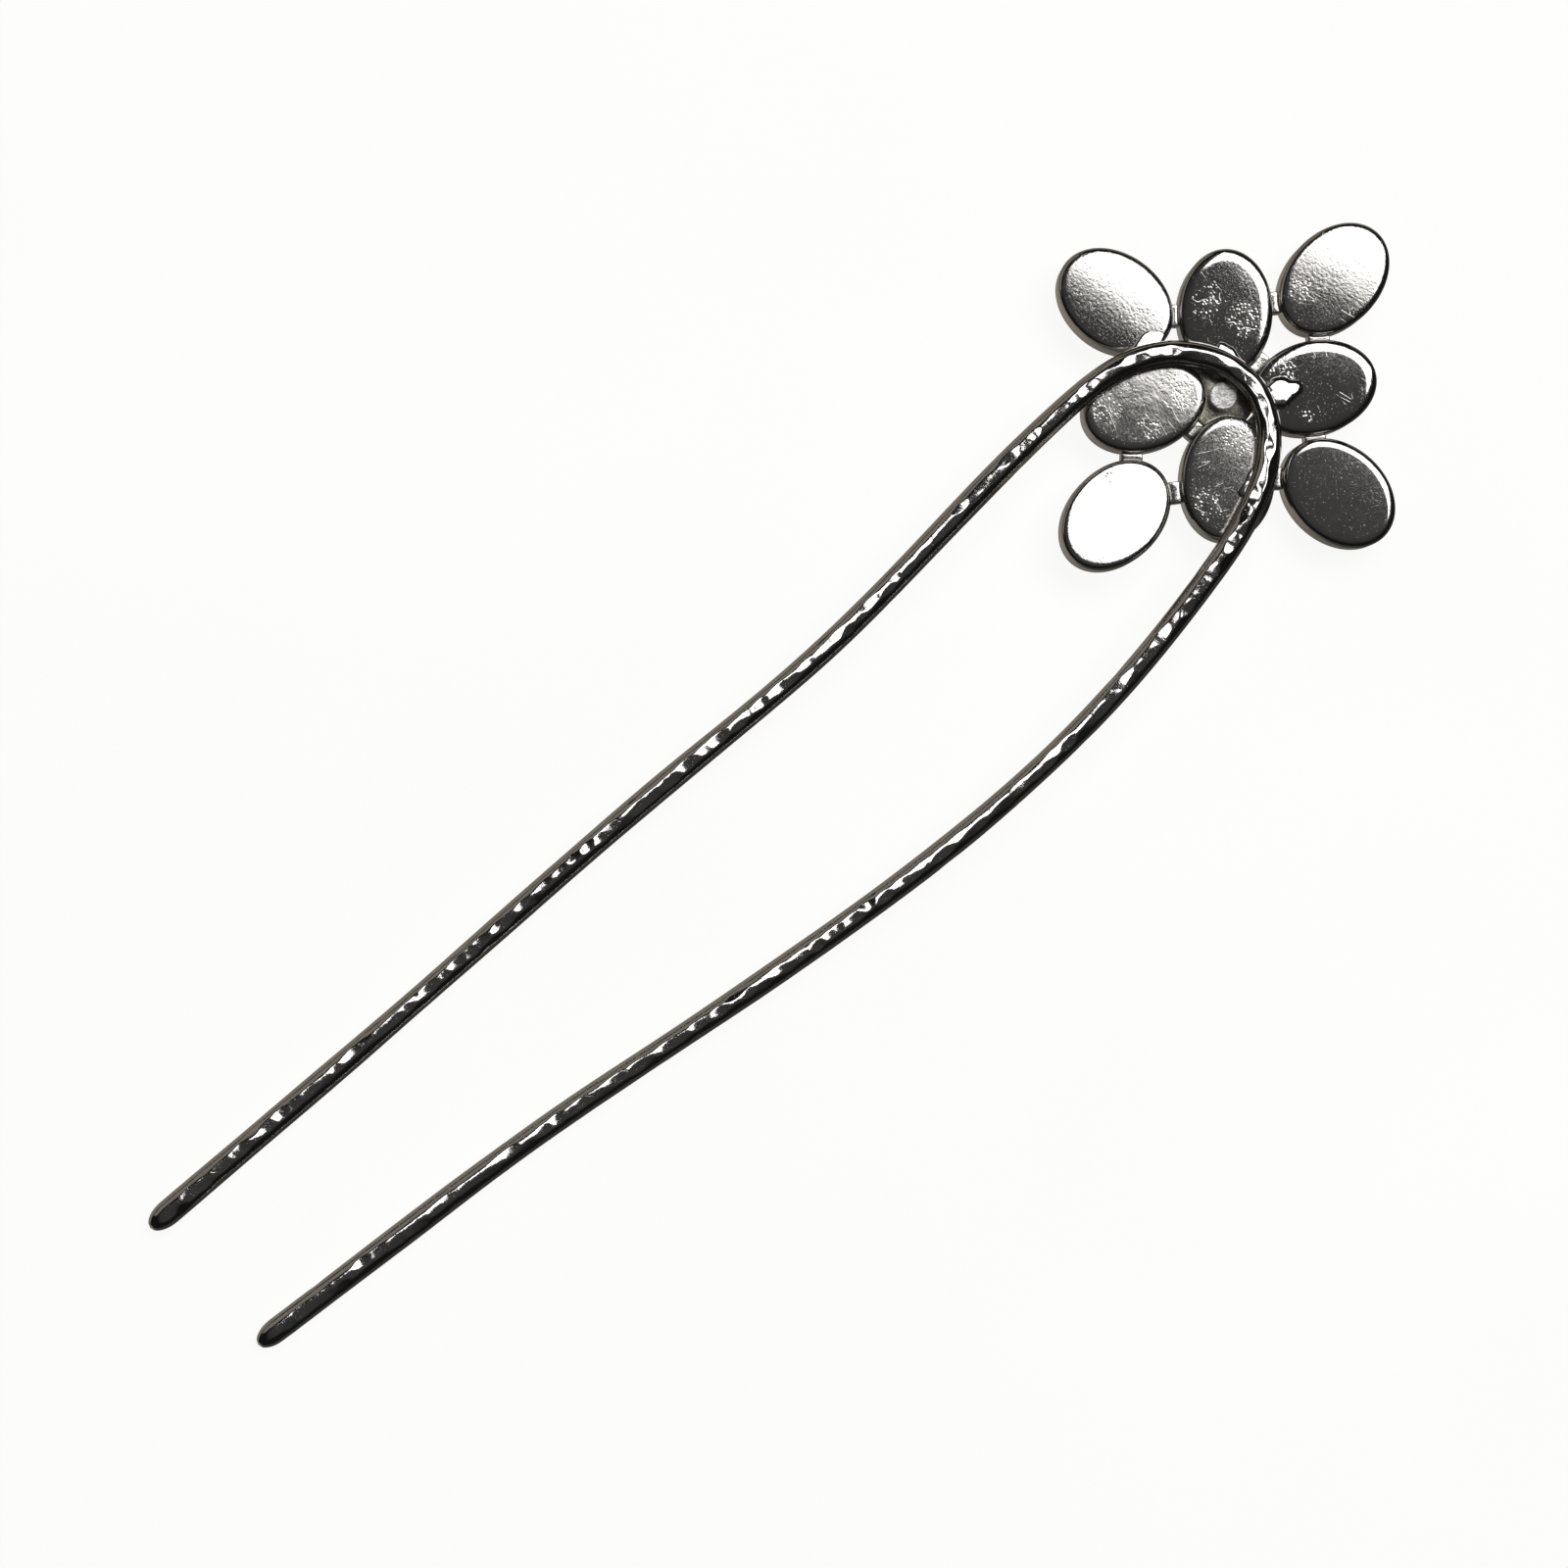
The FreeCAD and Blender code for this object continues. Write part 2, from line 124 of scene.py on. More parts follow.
class Nodes:
    """Short calls to make and wire the nodes of one material."""

    def __init__(self, name):
        self.material = bpy.data.materials.new(name)
        self.material.use_nodes = True
        self.tree = self.material.node_tree
        self.tree.nodes.clear()
        self.output = self.tree.nodes.new("ShaderNodeOutputMaterial")
        self.where = self.tree.nodes.new("ShaderNodeTexCoord").outputs["Object"]

    def add(self, kind, inputs=None, **settings):
        node = self.tree.nodes.new(kind)
        for key, value in settings.items():
            setattr(node, key, value)
        for key, value in (inputs or {}).items():
            if isinstance(value, bpy.types.NodeSocket):
                self.tree.links.new(value, node.inputs[key])
            else:
                node.inputs[key].default_value = value
        return node

    def noise(self, feature, detail=3.0, roughness=0.55, at=None):
        inputs = {
            "Vector": at or self.where,
            "Scale": 1.0 / feature,
            "Detail": detail,
            "Roughness": roughness,
        }
        return self.add("ShaderNodeTexNoise", inputs).outputs["Fac"]

    def cells(self, feature, at=None):
        inputs = {"Vector": at or self.where, "Scale": 1.0 / feature}
        return self.add("ShaderNodeTexVoronoi", inputs).outputs["Distance"]

    def placed(self, offset, stretch=1.0, turn=0.0):
        """Coordinates moved and turned, then drawn out along the new X."""
        inputs = {
            "Vector": self.where,
            "Location": offset,
            "Rotation": (0.0, 0.0, turn),
            "Scale": (stretch, 1.0, 1.0),
        }
        return self.add("ShaderNodeMapping", inputs, vector_type="TEXTURE").outputs["Vector"]

    def remap(self, value, low, high, to_low=0.0, to_high=1.0):
        inputs = {
            "Value": value,
            "From Min": low,
            "From Max": high,
            "To Min": to_low,
            "To Max": to_high,
        }
        return self.add("ShaderNodeMapRange", inputs).outputs["Result"]

    def math(self, operation, first, second=0.0):
        node = self.add("ShaderNodeMath", operation=operation)
        for slot_number, value in enumerate((first, second)):
            if isinstance(value, bpy.types.NodeSocket):
                self.tree.links.new(value, node.inputs[slot_number])
            else:
                node.inputs[slot_number].default_value = value
        return node.outputs["Value"]

    def mix(self, factor, first, second):
        node = self.add("ShaderNodeMix", data_type="RGBA")
        for key, value in ((0, factor), (6, first), (7, second)):
            if isinstance(value, bpy.types.NodeSocket):
                self.tree.links.new(value, node.inputs[key])
            else:
                node.inputs[key].default_value = value
        return node.outputs[2]

    def bump(self, height, distance, strength=1.0, normal=None):
        inputs = {"Height": height, "Distance": distance, "Strength": strength}
        if normal is not None:
            inputs["Normal"] = normal
        return self.add("ShaderNodeBump", inputs).outputs["Normal"]

    def hairlines(self, gap, stretch, turn, width, at=0.5):
        """Thin wandering lines, gap apart: 1 on a line, 0 off it."""
        where = self.placed((turn * MM, 2.0 * turn * MM, 0.0), stretch, turn)
        field = self.noise(gap, detail=2.0, roughness=0.45, at=where)
        ridge = self.math("ABSOLUTE", self.math("SUBTRACT", field, at))
        return self.remap(ridge, 0.0, width, 1.0, 0.0)

    def patches(self, centre, spots):
        """A soft mask: 1 in the middle of each spot, 0 outside them all."""
        mask = None
        for x, y, radius in spots:
            middle = (centre[0] + x * MM, centre[1] + y * MM, CUP_BACK)
            inputs = {0: self.where, 1: middle}
            apart = self.add("ShaderNodeVectorMath", inputs, operation="DISTANCE").outputs["Value"]
            near = self.remap(apart, 0.35 * radius * MM, 1.25 * radius * MM, 1.0, 0.0)
            mask = near if mask is None else self.math("MAXIMUM", mask, near)
        return mask if mask is not None else self.math("ADD", 0.0, 0.0)

    def finish(self, shader):
        self.tree.links.new(shader, self.output.inputs["Surface"])
        return self.material


GRAIN = 0.26 * MM
GRAIN_BUMP = 0.026 * MM
SPECK = 0.12 * MM
SPECK_BUMP = 0.010 * MM
PIT = 0.30 * MM
PIT_BUMP = 0.030 * MM
LINE_BUMP = 0.007 * MM


def scratches(n, where, seed, spots_mask, lines):
    """Fine hairlines all over, and coarser cracks inside the worn spots."""
    cracks = n.math("MULTIPLY", n.hairlines(1.8 * MM, 1.0, 0.4 * seed, 0.012), spots_mask)
    fine = n.math(
        "MAXIMUM",
        n.hairlines(1.1 * MM, 7.0, 0.9 + 0.8 * seed, 0.008),
        n.hairlines(1.4 * MM, 9.0, 2.3 + 1.7 * seed, 0.008),
    )
    some_places = n.remap(n.noise(2.0 * MM, at=where), 0.53, 0.63)
    fine = n.math("MULTIPLY", fine, some_places)
    return n.math("MAXIMUM", cracks, n.math("MULTIPLY", fine, lines))


def plated_metal(name, tint, roughness, grain_depth, seed, centre=(0.0, 0.0), spots=(), lines=0.0):
    """Bright plating over a base with fine grain, worn pitted spots and hairlines."""
    n = Nodes(name)
    where = n.placed((0.011 * seed, 0.017 * seed, 0.005 * seed))
    broad = n.noise(1.3 * MM, detail=3.0, at=where)
    spots_mask = n.patches(centre, spots)
    worn = n.math("MULTIPLY", spots_mask, n.remap(broad, 0.38, 0.56))
    grain = n.noise(GRAIN, detail=4.0, roughness=0.6, at=where)
    specks = n.remap(n.noise(SPECK, detail=2.0, at=where), 0.69, 0.77)
    pits = n.remap(n.cells(PIT, at=where), 0.05, 0.40, 1.0, 0.0)
    normal = n.bump(grain, GRAIN_BUMP, 0.06 + 0.56 * grain_depth)
    normal = n.bump(n.math("MULTIPLY", pits, worn), -PIT_BUMP, 1.0, normal)
    normal = n.bump(specks, SPECK_BUMP, 0.22 + 0.6 * grain_depth, normal)
    normal = n.bump(scratches(n, where, seed, spots_mask, lines), -LINE_BUMP, 1.0, normal)
    dark = tuple(0.88 * c for c in tint[:3]) + (1.0,)
    rough = n.remap(grain, 0.2, 0.8, 0.7 * roughness, 1.3 * roughness)
    shader = n.add(
        "ShaderNodeBsdfPrincipled",
        {
            "Base Color": n.mix(n.remap(broad, 0.3, 0.7), tint, dark),
            "Metallic": 1.0,
            "Roughness": n.math("ADD", rough, n.math("MULTIPLY", worn, 0.05)),
            "Normal": normal,
        },
    )
    return n.finish(shader.outputs["BSDF"])


def ground_metal():
    """Coarsely ground face: crossed file marks and pits, bright but matt."""
    n = Nodes("ground_metal")
    grain = n.noise(0.20 * MM, detail=4.0, roughness=0.7)
    streak = n.noise(0.18 * MM, detail=2.0, at=n.placed((0, 0, 0), 3.0, 1.0))
    height = n.math("ADD", grain, streak)
    shade = n.mix(n.remap(height, 0.88, 1.12), (0.42, 0.40, 0.37, 1.0), (1.0, 0.98, 0.95, 1.0))
    shader = n.add(
        "ShaderNodeBsdfPrincipled",
        {
            "Base Color": shade,
            "Metallic": 1.0,
            "Roughness": n.remap(grain, 0.2, 0.8, 0.38, 0.55),
            "Normal": n.bump(height, 0.04 * MM, 0.8),
        },
    )
    return n.finish(shader.outputs["BSDF"])


def crystal():
    """Clear cut stone with a faint grey tint over a mirror foil."""
    n = Nodes("crystal")
    cloud = n.noise(3.0 * MM, detail=2.0)
    tint = n.mix(cloud, (0.80, 0.83, 0.88, 1.0), (0.90, 0.92, 0.95, 1.0))
    polish = n.remap(n.noise(0.4 * MM), 0.3, 0.7, 0.01, 0.04)
    glass = n.add(
        "ShaderNodeBsdfPrincipled",
        {"Base Color": tint, "Roughness": polish, "IOR": 1.58, "Transmission Weight": 1.0},
    )
    foil = n.add(
        "ShaderNodeBsdfPrincipled",
        {"Base Color": tint, "Roughness": polish, "Metallic": 1.0},
    )
    both = n.add("ShaderNodeMixShader", {"Fac": 0.55})
    n.tree.links.new(glass.outputs["BSDF"], both.inputs[1])
    n.tree.links.new(foil.outputs["BSDF"], both.inputs[2])
    return n.finish(both.outputs["Shader"])


PLATE = (0.64, 0.62, 0.59, 1.0)
WIRE_METAL = plated_metal("plated_wire", PLATE, 0.07, 0.30, 1, lines=0.3)
LINK_METAL = plated_metal("plated_bridges", (0.72, 0.70, 0.66, 1.0), 0.14, 0.8, 2)
# The hub's darker, warmer tint is painted shade for the filler sunk between the cups.
HUB_METAL_PAINTED_SHADE = plated_metal("hub_metal_painted_shade", (0.50, 0.47, 0.39, 1.0), 0.24, 1.0, 5)
SOLDER_METAL = plated_metal("solder", (0.78, 0.77, 0.75, 1.0), 0.10, 0.25, 3)
GROUND = ground_metal()
CRYSTAL = crystal()


# --- The hammered wire ---------------------------------------------------------

WIRE_STEP = 0.17 * MM
WIRE_AROUND = 48
WIRE_RADIUS = 1.06 * MM
WALK_STRIDE = 0.8 * MM
WALK_STOP = 1.7 * MM
SMOOTHING = 1.2 * MM
NOSE_LENGTH = 2.2 * MM
FLAT_END_LENGTH = 30 * MM
FLAT_END = 0.07
HAND_WAVE = 0.05 * MM
WAVE_STARTS = 20 * MM
WAVE_STOPS = 100 * MM
WAVE_FADE = 15 * MM
TOP_BLOW = (92.0, 11.0)
UNDER_BLOW = (270.0, 14.0)
TOP_DEPTH = (0.04, 0.12)
UNDER_DEPTH = (0.03, 0.08)
EDGE_DEPTH = (0.01, 0.04)
BLOW_REACH = (1.0, 1.9)
BLOW_GAP = (1.1, 1.9)
BLOW_JITTER = 0.5
BLOW_HALF_WIDTH = 1.1
BLOW_RIDGE = 0.05 * MM
BLOW_BLEND = 0.012 * MM
NO_BLOW = 9.0
SURFACE_WANDER = 0.006 * MM


def section_centre(tree, place, heading):
    """The middle of the wire's cross-section at a place inside it."""
    side = heading.cross(Vector((0, 0, 1))).normalized()
    up = side.cross(heading).normalized()
    hits = []
    for step in range(12):
        angle = 2 * math.pi * step / 12
        way = side * math.cos(angle) + up * math.sin(angle)
        hits.append(tree.ray_cast(place, way)[0])
    return sum(hits, Vector()) / len(hits)


def wire_axis():
    """The CAD wire's centre line, found by walking inside it from one tip to the other."""
    points = node_points("fork_wire")
    middle = np.median(points[:, 0])
    left = points[points[:, 0] < middle]
    right = points[points[:, 0] > middle]
    tip = Vector(left[np.argmin(left[:, 1])])
    faces = [tuple(p.vertices) for p in NODES["fork_wire"].data.polygons]
    tree = BVHTree.FromPolygons([tuple(p) for p in points], faces)
    heading = Vector((0.0, 1.0, 0.0))
    place = tip + heading * 2 * WALK_STRIDE
    axis = [tip]
    while True:
        for _ in range(2):
            place = section_centre(tree, place, heading)
        axis.append(place.copy())
        if len(axis) > 2:
            heading = (axis[-1] - axis[-2]).normalized()
        ahead = tree.ray_cast(place, heading)[0]
        if ahead is None or (ahead - place).length < WALK_STOP:
            break
        place = place + heading * WALK_STRIDE
    axis.append(Vector(right[np.argmin(right[:, 1])]))
    return np.array([tuple(p) for p in axis])


def smooth_line(points, step):
    """A line through the points, evenly spaced, with small kinks smoothed away."""
    lengths = np.r_[0, np.cumsum(np.linalg.norm(np.diff(points, axis=0), axis=1))]
    count = int(lengths[-1] / step) + 1
    along = np.linspace(0, lengths[-1], count)
    line = np.stack([np.interp(along, lengths, points[:, k]) for k in range(3)], 1)
    width = int(SMOOTHING / step)
    kernel = np.hanning(2 * width + 1)
    kernel /= kernel.sum()
    smooth = line.copy()
    for k in range(3):
        padded = np.r_[
            2 * line[0, k] - line[width:0:-1, k],
            line[:, k],
            2 * line[-1, k] - line[-2 : -width - 2 : -1, k],
        ]
        smooth[:, k] = np.convolve(padded, kernel, "valid")
    return along, smooth


def hammer_blows(length):
    """Place, angle, depth and reach of each blow of the hammer along the wire.

    The wire lay flat on an anvil, so most blows fall on its two broad sides."""
    blows = []
    along = 0.5 * MM
    while along < length:
        top = math.radians(RNG.normal(*TOP_BLOW))
        under = math.radians(RNG.normal(*UNDER_BLOW))
        edge = RNG.uniform(0, 2 * math.pi)
        for angle, depths in ((top, TOP_DEPTH), (under, UNDER_DEPTH), (edge, EDGE_DEPTH)):
            place = along + RNG.uniform(-BLOW_JITTER, BLOW_JITTER) * MM
            depth = RNG.uniform(*depths) * MM
            blows.append((place, angle, depth, RNG.uniform(*BLOW_REACH) * MM))
        along += RNG.uniform(*BLOW_GAP) * MM
    return blows


def hand_wave(centre):
    """How far the hand-bent prongs sink and rise, away from their tips and the bend."""
    behind = -centre[:, 1]
    begins = np.clip((behind - WAVE_STARTS) / WAVE_FADE, 0, 1)
    ends = np.clip((WAVE_STOPS - behind) / WAVE_FADE, 0, 1)
    wave = np.sin((behind - 74 * MM) / (3.6 * MM)) + 0.6 * np.sin((behind - 30 * MM) / (2.1 * MM))
    return HAND_WAVE * begins * ends * wave


def side_and_up(centre):
    """Unit vectors across the wire and up from it, at each point of its centre line."""
    way = np.gradient(centre, axis=0)
    way /= np.linalg.norm(way, axis=1)[:, None]
    side = np.cross(way, (0.0, 0.0, 1.0))
    side /= np.linalg.norm(side, axis=1)[:, None]
    return side, np.cross(side, way)


def hammered_reach(along, angles):
    """The wire's radius at each place and angle after every blow has dented it."""
    reach = np.full((len(along), WIRE_AROUND), WIRE_RADIUS)
    for at, angle, depth, span in hammer_blows(along[-1]):
        near = np.abs(along - at) < span
        turn = (angles[None, :] - angle + math.pi) % (2 * math.pi) - math.pi
        bowl = ((along[near] - at) / span)[:, None] ** 2
        flat = WIRE_RADIUS - depth * (1 - bowl) + BLOW_RIDGE * bowl
        flat = flat / np.clip(np.cos(turn), 0.3, 1)
        flat = np.where(np.abs(turn) < BLOW_HALF_WIDTH, flat, NO_BLOW)
        softer = np.logaddexp(-reach[near] / BLOW_BLEND, -flat / BLOW_BLEND)
        reach[near] = -BLOW_BLEND * softer
    return reach


def hammered_wire():
    along, centre = smooth_line(wire_axis(), WIRE_STEP)
    centre[:, 2] -= hand_wave(centre)
    side, up = side_and_up(centre)
    angles = 2 * math.pi * np.arange(WIRE_AROUND) / WIRE_AROUND
    reach = hammered_reach(along, angles)

    from_end = np.minimum(along, along[-1] - along)
    taper = np.sqrt(np.clip(1 - np.clip(1 - from_end / NOSE_LENGTH, 0, 1) ** 2.0, 0.0, 1))
    swell = 1 + 0.02 * np.sin(along / (7.0 * MM)) + 0.015 * np.sin(along / (3.1 * MM) + 1.0)
    flattened = 1 + FLAT_END * np.clip(1 - from_end / FLAT_END_LENGTH, 0, 1)
    across = np.cos(angles)[None, :] * reach * (swell * flattened * taper)[:, None]
    height = np.sin(angles)[None, :] * reach * (swell / flattened * taper)[:, None]
    sideways = side[:, None, :] * across[:, :, None]
    upwards = up[:, None, :] * height[:, :, None]
    points = (centre[:, None, :] + sideways + upwards).reshape(-1, 3)

    rough = wander(points, 0.5 * MM, 1) * SURFACE_WANDER
    outward = points - np.repeat(centre, WIRE_AROUND, axis=0)
    outward /= np.maximum(np.linalg.norm(outward, axis=1), 1e-9)[:, None]
    points = points + outward * rough[:, None]
    rings = len(along) - 2
    body = points[WIRE_AROUND:-WIRE_AROUND]
    points = np.vstack([body, centre[:1], centre[-1:]])
    faces = tube_faces(rings, WIRE_AROUND)
    return new_piece("hammered_wire", points, faces, WIRE_METAL, "fork_wire")


# --- The oval cups -------------------------------------------------------------

CUP_AROUND = 144
ROLL_RADIUS = 0.5 * MM
ROLL_ENDS = math.radians(20)
PILLOW_ENDS = math.radians(2)
WALL = 0.45 * MM
LEDGE = 0.85 * MM
RIM_ROLL = 0.2 * MM
SEAT_DEPTH = 1.05 * MM
HOLLOW_DEPTH = 2.4 * MM


def plan_axes(name):
    """Centre, long direction, half length and half width of an oval node in plan."""
    points = node_points(name)[:, :2]
    low, high = points.min(0), points.max(0)
    centre = (low + high) / 2
    best = None
    for degree in range(180):
        way = np.array([math.cos(math.radians(degree)), math.sin(math.radians(degree))])
        reach = np.ptp(points @ way)
        if best is None or reach > best[0]:
            best = (reach, degree, way)
    reach, _, way = best
    across = np.array([-way[1], way[0]])
    return centre, way, reach / 2, np.ptp(points @ across) / 2


def back_profile(pillow):
    """Inset from the outline and drop from the back's edge, from the middle outwards."""
    profile = []
    inset = ROLL_RADIUS * (1 - math.sin(ROLL_ENDS))
    drop = pillow * (math.cos(PILLOW_ENDS) - math.cos(ROLL_ENDS))
    for angle in np.linspace(PILLOW_ENDS, ROLL_ENDS, 12)[:-1]:
        across = pillow * (math.sin(ROLL_ENDS) - math.sin(angle))
        profile.append((inset + across, pillow * (math.cos(PILLOW_ENDS) - math.cos(angle))))
    for angle in np.linspace(ROLL_ENDS, math.pi / 2, 12):
        across = ROLL_RADIUS * (1 - math.sin(angle))
        profile.append((across, drop + ROLL_RADIUS * (math.cos(ROLL_ENDS) - math.cos(angle))))
    return profile


def front_profile():
    """Inset and height above the rim of the rolled rim, the stone's seat and the hollow."""
    profile = []
    for step in range(1, 5):
        angle = math.pi / 2 * step / 4
        profile.append((RIM_ROLL * (1 - math.cos(angle)), RIM_ROLL * (1 - math.sin(angle))))
    profile += [(WALL, 0.0), (WALL, SEAT_DEPTH), (WALL + LEDGE, SEAT_DEPTH), (WALL + LEDGE, HOLLOW_DEPTH)]
    return profile


def cup(name, lean, dome, pillow, uneven, material, seed):
    """An open oval cup, back up: domed back, rolled shoulder, wall, rim and hollow.

    lean is the slope of the back towards X and Y in degrees; dome is its rise."""
    centre, way, half_length, half_width = plan_axes(name)
    across = np.array([-way[1], way[0]])
    turn = 2 * math.pi * np.arange(CUP_AROUND) / CUP_AROUND
    edge = np.stack([half_length * np.cos(turn), half_width * np.sin(turn)], 1)
    normal = np.stack([np.cos(turn) / half_length, np.sin(turn) / half_width], 1)
    normal /= np.linalg.norm(normal, axis=1)[:, None]

    back = back_profile(pillow)
    flat = edge - normal * back[0][0]
    rings = []
    for share in np.linspace(0.04, 1.0, 30)[:-1]:
        rings.append((flat * share, CUP_BACK + dome * (1 - share**2)))
    for inset, drop in back:
        rings.append((edge - normal * inset, CUP_BACK - drop))
    wall_top = CUP_BACK - back[-1][1]
    wall_low = CUP_RIM + RIM_ROLL
    for height in np.linspace(wall_top, wall_low, 5)[1:]:
        rings.append((edge, height))
    for inset, rise in front_profile():
        rings.append((edge - normal * inset, CUP_RIM + rise))

    plan = np.vstack([ring[0] for ring in rings] + [np.zeros((2, 2))])
    levels = [np.full(CUP_AROUND, ring[1]) for ring in rings]
    height = np.concatenate(levels + [[CUP_BACK + dome, CUP_RIM + HOLLOW_DEPTH]])
    place = centre + plan[:, :1] * way + plan[:, 1:] * across
    points = np.column_stack([place, height])

    topness = np.clip((height - wall_low) / (wall_top - wall_low), 0, 1)
    topness[-1 - CUP_AROUND * 4 : -1] = 0.0
    topness[-1] = 0.0
    slope = np.tan(np.radians(lean))
    flat_place = np.column_stack([place, 0 * height])
    dents = wander(flat_place, 1.9 * MM, seed) + 0.4 * wander(flat_place, 0.8 * MM, seed + 3)
    points[:, 2] += topness * (uneven * dents - (place - centre) @ slope)
    faces = [face[::-1] for face in tube_faces(len(rings), CUP_AROUND)]
    return new_piece(name.replace("_cup_", "_setting_"), points, faces, material, name)


# Each cup's back is worn in its own way: its lean towards X and Y in degrees; the
# rise of its dome, the radius that rounds off its edge and its unevenness in
# millimetres; the roughness and depth of its grain and how many hairlines it has;
# and its pitted spots: place from the cup's middle and radius, in millimetres.
CUPS = {
    "outer_cup_1": ((0.0, -1.2), 0.10, 1.5, 0.003, 0.10, 0.6, 1.0, ((-1.0, -2.8, 1.3),)),
    "outer_cup_2": ((0.0, -2.0), 0.04, 1.6, 0.002, 0.11, 0.10, 0.12, ()),
    "outer_cup_3": ((-0.6, 4.6), 0.02, 0.9, 0.001, 0.10, 0.3, 0.1, ((-3.2, 2.0, 1.2),)),
    "outer_cup_4": ((-1.2, 0.0), 0.11, 1.5, 0.002, 0.10, 1.0, 0.2, ((2.6, 0.8, 1.0),)),
    "inner_cup_1": (
        (0.0, -2.2),
        0.04,
        2.5,
        0.003,
        0.08,
        0.22,
        0.4,
        ((-3.0, -1.3, 1.2), (1.5, -1.7, 0.8)),
    ),
    "inner_cup_2": (
        (0.0, -0.8),
        0.06,
        1.8,
        0.006,
        0.13,
        0.45,
        0.6,
        ((-2.2, 3.4, 1.7), (0.4, -2.9, 1.6)),
    ),
    "inner_cup_3": (
        (0.0, -0.1),
        0.06,
        1.8,
        0.012,
        0.15,
        0.55,
        0.9,
        ((-2.1, -2.8, 1.5), (1.2, 3.0, 1.7), (1.8, -1.0, 1.1)),
    ),
    "inner_cup_4": (
        (0.0, -2.3),
        0.04,
        2.6,
        0.004,
        0.08,
        0.35,
        0.3,
        ((-1.7, -0.6, 1.5), (1.5, 0.8, 1.5)),
    ),
}


def all_cups():
    for seed, (name, values) in enumerate(CUPS.items(), 1):
        lean, dome, pillow, uneven, rough, grain_depth, lines, spots = values
        centre = plan_axes(name)[0]
        metal = plated_metal(
            f"{name}_metal", PLATE, rough, grain_depth, seed + 10, centre, spots, lines
        )
        cup(name, np.array(lean), dome * MM, pillow * MM, uneven * MM, metal, seed)


# --- Solder --------------------------------------------------------------------

SOLDER_RISES = {1: 0.40 * MM, 2: 0.26 * MM, 3: 0.26 * MM, 4: 0.26 * MM}
SOLDER_SINK = 0.03 * MM
SOLDER_FOOT = 0.12 * MM
SOLDER_AROUND = 72
SOLDER_RINGS = 16


def solder_pool(number):
    """Solder that ran out from under the wire and froze as a low, wavy mound."""
    name = f"solder_joint_{number}"
    low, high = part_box(name)
    centre = (low + high) / 2
    half = (high - low) / 2
    rise = SOLDER_RISES[number]
    points = []
    for ring in range(1, SOLDER_RINGS + 1):
        share = ring / SOLDER_RINGS
        sink = SOLDER_FOOT if ring == SOLDER_RINGS else SOLDER_SINK
        for step in range(SOLDER_AROUND):
            turn = 2 * math.pi * step / SOLDER_AROUND
            way = Vector((math.cos(turn), math.sin(turn), number * 3.1))
            wavy = 1 + 0.34 * noise.noise(way * 1.1) + 0.06 * noise.noise(way * 3.0)
            x = centre.x + half.x * share * wavy * math.cos(turn)
            y = centre.y + half.y * share * wavy * math.sin(turn)
            mound = (1 - share**5) * (1 - 0.25 * (y - centre.y) / half.y)
            points.append((x, y, low.z - sink + rise * mound))
    points.append((centre.x, centre.y, low.z - SOLDER_SINK + rise))
    points.append((centre.x, centre.y, low.z - SOLDER_FOOT - SOLDER_SINK))
    faces = [face[::-1] for face in tube_faces(SOLDER_RINGS, SOLDER_AROUND)]
    return new_piece(f"solder_pool_{number}", points, faces, SOLDER_METAL, name)


# --- Bridges and filler --------------------------------------------------------

SAME_PLACE = 0.001 * MM
SAME_PLANE = math.radians(2)
SHARP = math.radians(35)
BRIDGE_WEAR = 0.12 * MM
FILLER_WEAR = 0.03 * MM
POST_BEVEL = 0.12 * MM
POST_AROUND = 96
POST_DIP = 0.03 * MM


def welded(name):
    """The CAD node's mesh with its doubled corners joined."""
    copy = bmesh.new()
    copy.from_mesh(NODES[name].data)
    bmesh.ops.remove_doubles(copy, verts=copy.verts, dist=SAME_PLACE)
    return copy


def as_lists(copy):
    copy.verts.index_update()
    points = [tuple(vertex.co) for vertex in copy.verts]
    faces = [[corner.index for corner in face.verts] for face in copy.faces]
    copy.free()
    return points, faces


def worn_copy(name, new_name, material, edge):
    """A CAD node's shape with its sharp edges worn round."""
    copy = welded(name)
    bmesh.ops.dissolve_limit(
        copy, angle_limit=SAME_PLANE, verts=copy.verts, edges=copy.edges
    )
    sharp = [e for e in copy.edges if e.is_manifold and e.calc_face_angle() > SHARP]
    bmesh.ops.bevel(
        copy, geom=sharp, offset=edge, segments=3, profile=0.5, affect="EDGES", clamp_overlap=True
    )
    bmesh.ops.triangulate(copy, faces=copy.faces)
    points, faces = as_lists(copy)
    piece = new_piece(new_name, points, faces, material, name)
    piece.data.set_sharp_from_angle(angle=SHARP)


def bridges_and_filler():
    for name in list(NODES):
        if "_link_" in name:
            worn_copy(name, name.replace("_link_", "_bridge_"), LINK_METAL, BRIDGE_WEAR)
    # The filler takes the hub metal, whose darker tint is painted shade.
    worn_copy("centre_hub", "star_filler", HUB_METAL_PAINTED_SHADE, FILLER_WEAR)


